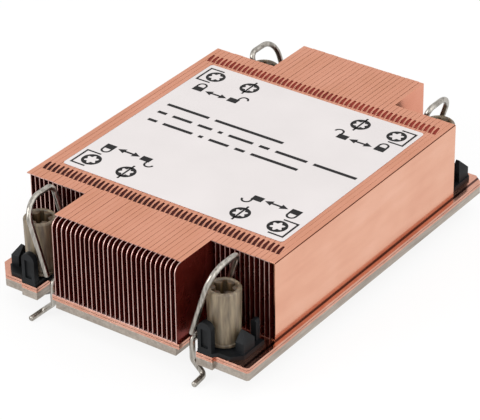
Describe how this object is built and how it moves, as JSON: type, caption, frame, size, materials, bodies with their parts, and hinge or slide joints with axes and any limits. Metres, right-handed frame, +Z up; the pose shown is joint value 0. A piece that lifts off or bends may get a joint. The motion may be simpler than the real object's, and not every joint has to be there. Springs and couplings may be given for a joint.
{
  "type": "server processor heatsink",
  "caption": "Low copper heatsink for a server processor: layered base, folded fins, fastening nuts and swinging anti-tilt wires.",
  "frame": {"origin": "centre of the base's bottom face, which meets the processor", "axes": "+Z up from the processor, +Y along the fins and the air flow towards the back, +X across the fins to the right"},
  "size_m": [0.078, 0.1144, 0.0321],
  "materials": {
    "aluminium_plate": "satin, rolled",
    "copper_shell": "satin copper",
    "copper_fin": "satin copper sheet",
    "label_sheet": "satin printed film",
    "nut_plastic": "satin PEEK",
    "wire_steel": "bright drawn",
    "ring_steel": "satin",
    "black_plastic": "fine matt"
  },
  "bodies": {
    "heatsink": {"base_plate": "aluminium_plate", "lower_shell": "copper_shell", "upper_shell": "copper_shell", "fins_left": "copper_fin", "fins_centre": "copper_fin", "fins_right": "copper_fin", "end_panel": "copper_fin", "label": "label_sheet", "retainer_front_right": "black_plastic", "retainer_front_left": "black_plastic", "retainer_back_right": "black_plastic", "retainer_back_left": "black_plastic"},
    "nut_front_right_body": {"nut_front_right": "nut_plastic", "ring_front_right": "ring_steel"},
    "wire_front_right_body": {"wire_front_right": "wire_steel"},
    "nut_front_left_body": {"nut_front_left": "nut_plastic", "ring_front_left": "ring_steel"},
    "wire_front_left_body": {"wire_front_left": "wire_steel"},
    "nut_back_right_body": {"nut_back_right": "nut_plastic", "ring_back_right": "ring_steel"},
    "wire_back_right_body": {"wire_back_right": "wire_steel"},
    "nut_back_left_body": {"nut_back_left": "nut_plastic", "ring_back_left": "ring_steel"},
    "wire_back_left_body": {"wire_back_left": "wire_steel"}
  },
  "joints": [
    {"name": "nut_front_right_spin", "type": "hinge", "parent": "heatsink", "child": "nut_front_right_body", "pos_m": [0.028, -0.048, 0.012], "axis": [0, 0, 1], "continuous": true},
    {"name": "wire_front_right_swing", "type": "hinge", "parent": "heatsink", "child": "wire_front_right_body", "pos_m": [0.0215, -0.0475, 0.0053], "axis": [0, -1, 0], "range_deg": [0, 18]},
    {"name": "nut_front_left_spin", "type": "hinge", "parent": "heatsink", "child": "nut_front_left_body", "pos_m": [-0.028, -0.048, 0.012], "axis": [0, 0, 1], "continuous": true},
    {"name": "wire_front_left_swing", "type": "hinge", "parent": "heatsink", "child": "wire_front_left_body", "pos_m": [-0.0215, -0.0475, 0.0053], "axis": [0, 1, 0], "range_deg": [0, 18]},
    {"name": "nut_back_right_spin", "type": "hinge", "parent": "heatsink", "child": "nut_back_right_body", "pos_m": [0.028, 0.048, 0.012], "axis": [0, 0, 1], "continuous": true},
    {"name": "wire_back_right_swing", "type": "hinge", "parent": "heatsink", "child": "wire_back_right_body", "pos_m": [0.0215, 0.0475, 0.0053], "axis": [0, -1, 0], "range_deg": [0, 18]},
    {"name": "nut_back_left_spin", "type": "hinge", "parent": "heatsink", "child": "nut_back_left_body", "pos_m": [-0.028, 0.048, 0.012], "axis": [0, 0, 1], "continuous": true},
    {"name": "wire_back_left_swing", "type": "hinge", "parent": "heatsink", "child": "wire_back_left_body", "pos_m": [-0.0215, 0.0475, 0.0053], "axis": [0, 1, 0], "range_deg": [0, 18]}
  ]
}
